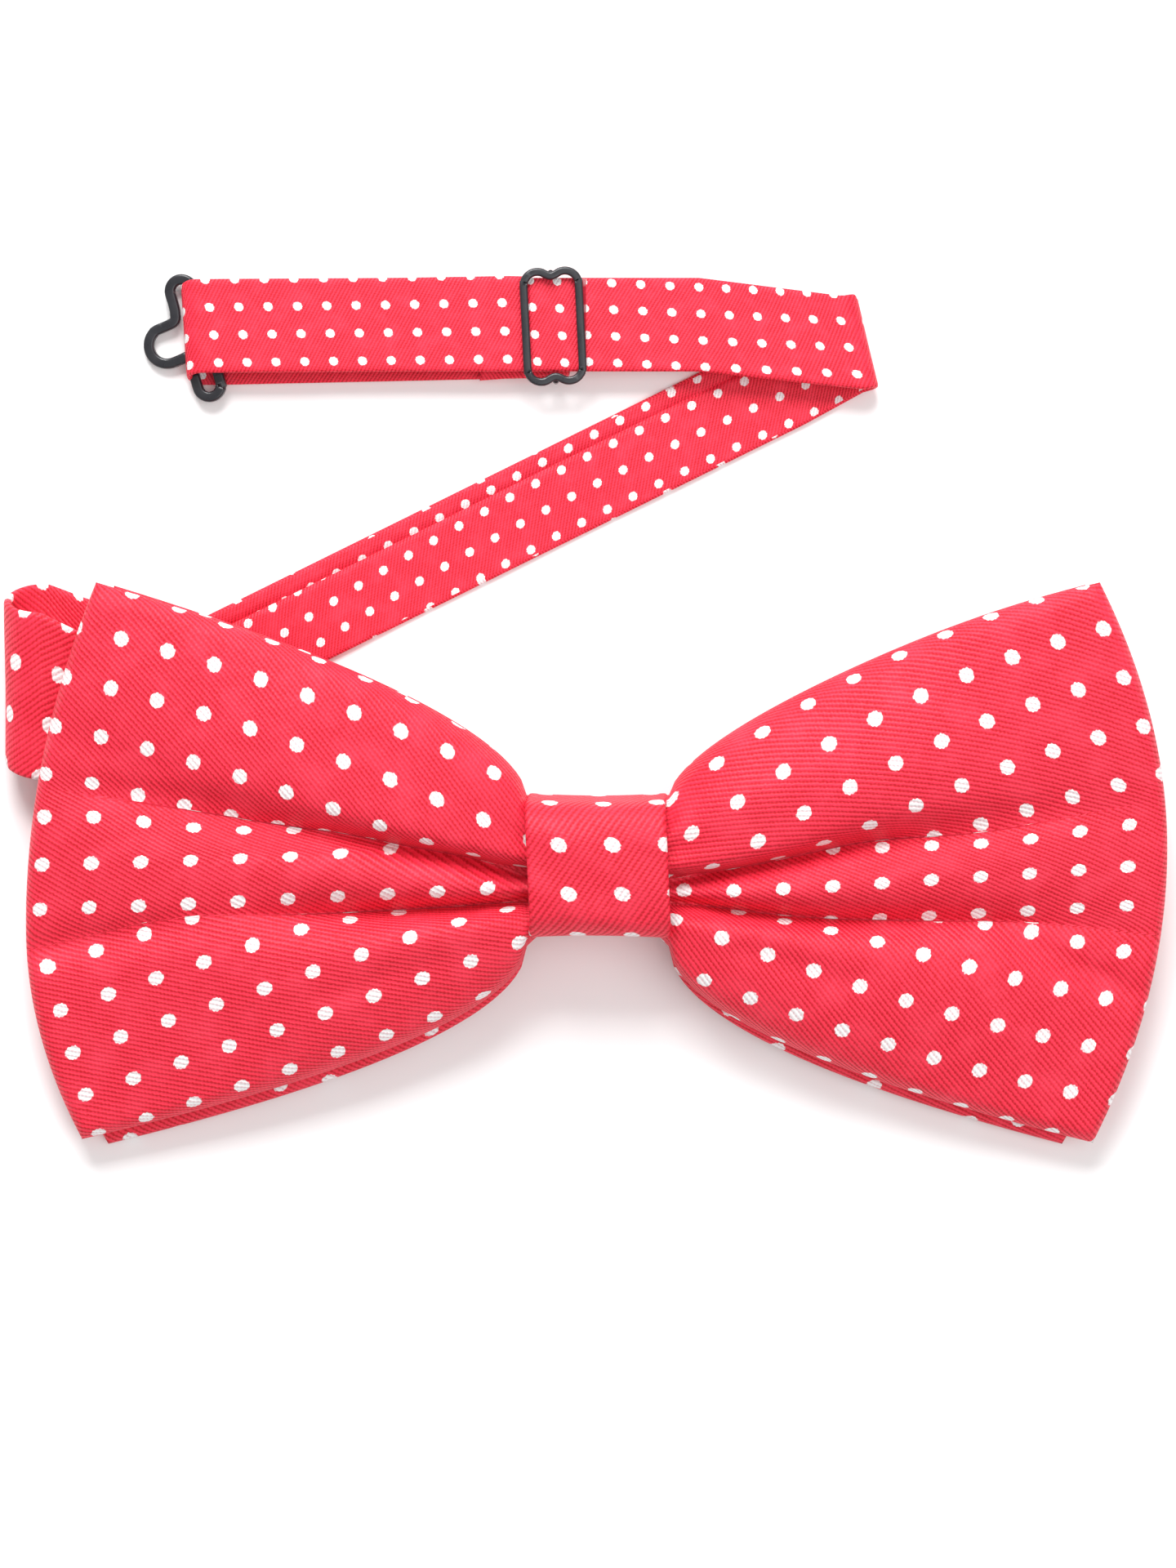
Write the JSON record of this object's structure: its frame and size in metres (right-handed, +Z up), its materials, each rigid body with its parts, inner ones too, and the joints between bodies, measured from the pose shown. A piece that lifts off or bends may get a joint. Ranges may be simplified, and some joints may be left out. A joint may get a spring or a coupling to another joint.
{
  "type": "bow tie",
  "caption": "Pre-tied dotted twill bow tie, face up, with its adjustable neck strap folded back behind it; black slide and hook on the strap",
  "frame": {"origin": "middle of the bounding box's base, on the table that the bow tie lies on", "axes": "+X along the bow towards its right wing, +Y from the bow's lower edge towards its neck strap, +Z up from the table, the way the bow faces"},
  "size_m": [0.1288, 0.0984, 0.0161],
  "materials": {
    "printed_twill": "red silk-look twill printed with small round off-white dots",
    "interlining": "off-white woven interlining",
    "thread": "red sewing thread",
    "black_metal": "satin black coating"
  },
  "bodies": {
    "strap_base": {"wide_far_run": "printed_twill", "left_bend": "printed_twill", "band_seam_tack": "thread", "diagonal_run": "printed_twill", "right_fold": "printed_twill"},
    "bow": {"front_bow_left_wing": "printed_twill", "front_bow_right_wing": "printed_twill", "rear_bow_left_wing": "printed_twill", "rear_bow_right_wing": "printed_twill", "front_bow_left_interlining": "interlining", "front_bow_right_interlining": "interlining", "rear_bow_left_interlining": "interlining", "rear_bow_right_interlining": "interlining", "front_waist": "printed_twill", "rear_waist": "printed_twill", "knot_wrap": "printed_twill", "knot_padding": "interlining", "knot_back_tack": "thread", "wide_near_run": "printed_twill", "tail_near_run": "printed_twill", "tail_bend": "printed_twill"},
    "adjuster": {"adjuster_run": "printed_twill", "front_run": "printed_twill"},
    "slider": {"slider": "black_metal", "slider_loop": "printed_twill", "slider_tail_tack": "thread"},
    "hook_carrier": {"hook_loop": "printed_twill", "return_run": "printed_twill"},
    "hook": {"hook": "black_metal"},
    "tail": {"tail_far_run": "printed_twill", "eye_loop": "printed_twill", "eye_loop_tack": "thread"},
    "eye": {"eye": "black_metal"}
  },
  "joints": [
    {"name": "bow_lift", "type": "hinge", "parent": "strap_base", "child": "bow", "pos_m": [-0.06012, 0.00204, 0.00386], "axis": [0, -1, 0], "range_deg": [0, 90], "deforming": ["left_bend"]},
    {"name": "band_lift", "type": "hinge", "parent": "strap_base", "child": "adjuster", "pos_m": [0.03087, 0.04071, 0.00177], "axis": [-0.2275, 0.9738, 0], "range_deg": [0, 90], "deforming": ["right_fold"]},
    {"name": "slider_slide", "type": "slide", "parent": "adjuster", "child": "slider", "axis": [1, 0, 0], "range_m": [-0.02, 0.012]},
    {"name": "hook_slide", "type": "slide", "parent": "adjuster", "child": "hook_carrier", "axis": [1, 0, 0], "range_m": [-0.01, 0.006], "deforming": ["front_run", "return_run"]},
    {"name": "hook_swivel", "type": "hinge", "parent": "hook_carrier", "child": "hook", "pos_m": [-0.04152, 0.04171, 0.00152], "axis": [-0.284, 0.9588, 0], "range_deg": [0, 60], "deforming": ["hook_loop"]},
    {"name": "tail_open", "type": "hinge", "parent": "bow", "child": "tail", "pos_m": [0.05967, -0.01729, 0.00242], "axis": [0, -1, 0], "range_deg": [0, 90], "deforming": ["tail_bend"]},
    {"name": "eye_swivel", "type": "hinge", "parent": "tail", "child": "eye", "pos_m": [0.02368, -0.01729, 0.00142], "axis": [0, -1, 0], "range_deg": [0, 60], "deforming": ["eye_loop"]}
  ],
  "couplings": [
    {"joint": "hook_slide", "follows": "slider_slide", "ratio": 0.5}
  ]
}
